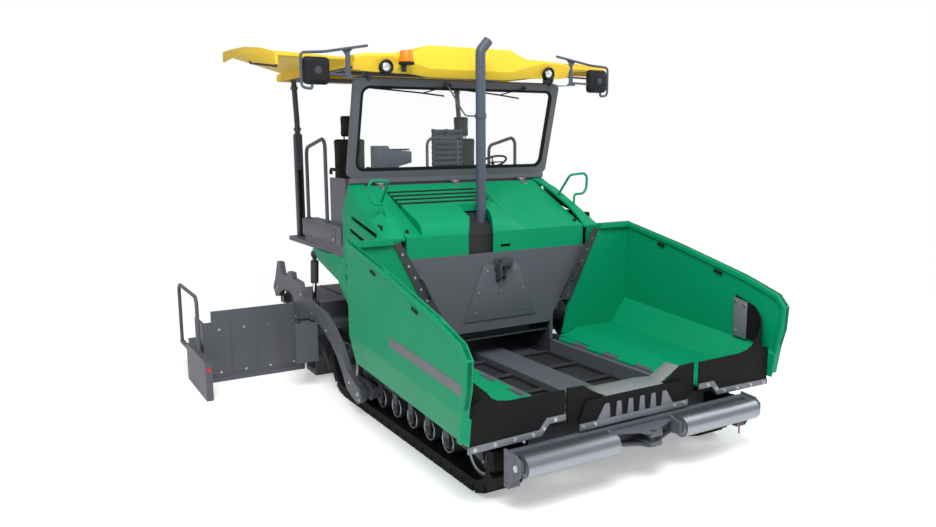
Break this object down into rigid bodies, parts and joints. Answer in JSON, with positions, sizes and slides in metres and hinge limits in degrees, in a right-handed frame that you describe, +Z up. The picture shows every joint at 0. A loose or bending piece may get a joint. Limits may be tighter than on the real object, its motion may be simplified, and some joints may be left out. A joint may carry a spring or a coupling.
{
  "type": "asphalt paver",
  "caption": "Tracked asphalt paver with folding hopper wings, bar conveyors, spreading augers, roofed operator platform, and a towed floating screed that extends sideways.",
  "frame": {"origin": "on the ground below the middle of the machine's overall box", "axes": "+X forwards towards the push rollers, +Y to the machine's left, +Z up"},
  "size_m": [6, 5.12, 3.6734],
  "materials": {
    "green_paint": "gloss",
    "dark_paint": "satin",
    "yellow_paint": "gloss",
    "steel": "satin",
    "cast": "matte",
    "rod_chrome": "polished",
    "rubber": "matte",
    "glass": "clear",
    "seat_cover": "matte",
    "grey_plastic": "matte"
  },
  "bodies": {
    "tractor": {"chassis_frame": "dark_paint", "engine_block": "dark_paint", "conveyor_floor": "steel", "conveyor_bars": "steel", "rear_apron": "dark_paint", "centre_rubber": "rubber", "track_left": "rubber", "track_right": "rubber", "track_wheels_left": "dark_paint", "track_wheels_right": "dark_paint", "side_cowls": "green_paint", "platform": "dark_paint", "windscreen_frame": "dark_paint", "windscreen_glass": "glass", "roof_posts": "dark_paint", "roof": "yellow_paint", "side_awnings": "yellow_paint", "exhaust_stack": "dark_paint", "lamps": "grey_plastic", "mirror_boxes": "grey_plastic", "operator_consoles": "dark_paint", "seat_cushions": "seat_cover", "grab_rails": "dark_paint", "auger_frame": "dark_paint", "tow_points": "dark_paint"},
    "push_bar": {"push_roller_bar": "dark_paint"},
    "hood": {"hood": "green_paint"},
    "screed": {"tow_arms": "dark_paint", "main_screed": "dark_paint"},
    "push_roller_left": {"push_roller_left": "steel"},
    "wing_left": {"wing_left": "green_paint", "wing_rubber_left": "rubber"},
    "wing_barrel_left": {"wing_barrel_left": "dark_paint"},
    "wing_rod_left": {"wing_rod_left": "rod_chrome"},
    "auger_left": {"auger_left": "cast"},
    "lift_barrel_left": {"lift_barrel_left": "dark_paint"},
    "lift_rod_left": {"lift_rod_left": "rod_chrome"},
    "extension_left": {"screed_extension_left": "dark_paint", "end_plate_left": "dark_paint"},
    "push_roller_right": {"push_roller_right": "steel"},
    "wing_right": {"wing_right": "green_paint", "wing_rubber_right": "rubber"},
    "wing_barrel_right": {"wing_barrel_right": "dark_paint"},
    "wing_rod_right": {"wing_rod_right": "rod_chrome"},
    "auger_right": {"auger_right": "cast"},
    "lift_barrel_right": {"lift_barrel_right": "dark_paint"},
    "lift_rod_right": {"lift_rod_right": "rod_chrome"},
    "extension_right": {"screed_extension_right": "dark_paint", "end_plate_right": "dark_paint"}
  },
  "joints": [
    {"name": "push_bar_swivel", "type": "hinge", "parent": "tractor", "child": "push_bar", "pos_m": [2.7, 0, 0.38], "axis": [0, 0, 1], "range_deg": [-3, 3]},
    {"name": "hood_hinge", "type": "hinge", "parent": "tractor", "child": "hood", "pos_m": [-0.164, 0, 2.24], "axis": [0, -1, 0], "range_deg": [0, 35]},
    {"name": "screed_lift", "type": "hinge", "parent": "tractor", "child": "screed", "pos_m": [0.391, 0, 0.253], "axis": [0, 1, 0], "range_deg": [0, 7]},
    {"name": "push_roller_left_spin", "type": "hinge", "parent": "push_bar", "child": "push_roller_left", "pos_m": [2.905, 0.77, 0.382], "axis": [0, 1, 0], "continuous": true},
    {"name": "wing_left_fold", "type": "hinge", "parent": "tractor", "child": "wing_left", "pos_m": [1.5, 0.69, 0.612], "axis": [1, 0, 0], "range_deg": [0, 46]},
    {"name": "wing_barrel_left_swing", "type": "hinge", "parent": "tractor", "child": "wing_barrel_left", "pos_m": [1.3, 0.79, 0.25], "axis": [1, 0, 0], "range_deg": [0, 11.1]},
    {"name": "wing_rod_left_stroke", "type": "slide", "parent": "wing_barrel_left", "child": "wing_rod_left", "axis": [0, 0.3247, 0.9458], "range_m": [0, 0.1485]},
    {"name": "auger_left_spin", "type": "hinge", "parent": "tractor", "child": "auger_left", "pos_m": [-0.925, 0.78, 0.34], "axis": [0, 1, 0], "continuous": true},
    {"name": "lift_barrel_left_swing", "type": "hinge", "parent": "tractor", "child": "lift_barrel_left", "pos_m": [-1.15, 1.25, 1.42], "axis": [0, -1, 0], "range_deg": [0, 8.78]},
    {"name": "lift_rod_left_stroke", "type": "slide", "parent": "lift_barrel_left", "child": "lift_rod_left", "axis": [0.1095, 0, 0.994], "range_m": [0, 0.195]},
    {"name": "extension_left_slide", "type": "slide", "parent": "screed", "child": "extension_left", "axis": [0, -1, 0], "range_m": [0, 0.95]},
    {"name": "push_roller_right_spin", "type": "hinge", "parent": "push_bar", "child": "push_roller_right", "pos_m": [2.905, -0.77, 0.382], "axis": [0, 1, 0], "continuous": true},
    {"name": "wing_right_fold", "type": "hinge", "parent": "tractor", "child": "wing_right", "pos_m": [1.5, -0.69, 0.612], "axis": [-1, 0, 0], "range_deg": [0, 46]},
    {"name": "wing_barrel_right_swing", "type": "hinge", "parent": "tractor", "child": "wing_barrel_right", "pos_m": [1.3, -0.79, 0.25], "axis": [-1, 0, 0], "range_deg": [0, 11.1]},
    {"name": "wing_rod_right_stroke", "type": "slide", "parent": "wing_barrel_right", "child": "wing_rod_right", "axis": [0, -0.3247, 0.9458], "range_m": [0, 0.1485]},
    {"name": "auger_right_spin", "type": "hinge", "parent": "tractor", "child": "auger_right", "pos_m": [-0.925, -0.78, 0.34], "axis": [0, 1, 0], "continuous": true},
    {"name": "lift_barrel_right_swing", "type": "hinge", "parent": "tractor", "child": "lift_barrel_right", "pos_m": [-1.15, -1.25, 1.42], "axis": [0, -1, 0], "range_deg": [0, 8.78]},
    {"name": "lift_rod_right_stroke", "type": "slide", "parent": "lift_barrel_right", "child": "lift_rod_right", "axis": [0.1095, 0, 0.994], "range_m": [0, 0.195]},
    {"name": "extension_right_slide", "type": "slide", "parent": "screed", "child": "extension_right", "axis": [0, 1, 0], "range_m": [0, 0.95]}
  ],
  "couplings": [
    {"joint": "wing_barrel_left_swing", "follows": "wing_left_fold", "ratio": 0.24092},
    {"joint": "wing_rod_left_stroke", "follows": "wing_left_fold", "m_per_rad": 0.18489},
    {"joint": "lift_barrel_left_swing", "follows": "screed_lift", "ratio": 1.253},
    {"joint": "lift_rod_left_stroke", "follows": "screed_lift", "m_per_rad": 1.593},
    {"joint": "wing_barrel_right_swing", "follows": "wing_right_fold", "ratio": 0.24092},
    {"joint": "wing_rod_right_stroke", "follows": "wing_right_fold", "m_per_rad": 0.18489},
    {"joint": "lift_barrel_right_swing", "follows": "screed_lift", "ratio": 1.253},
    {"joint": "lift_rod_right_stroke", "follows": "screed_lift", "m_per_rad": 1.593}
  ]
}
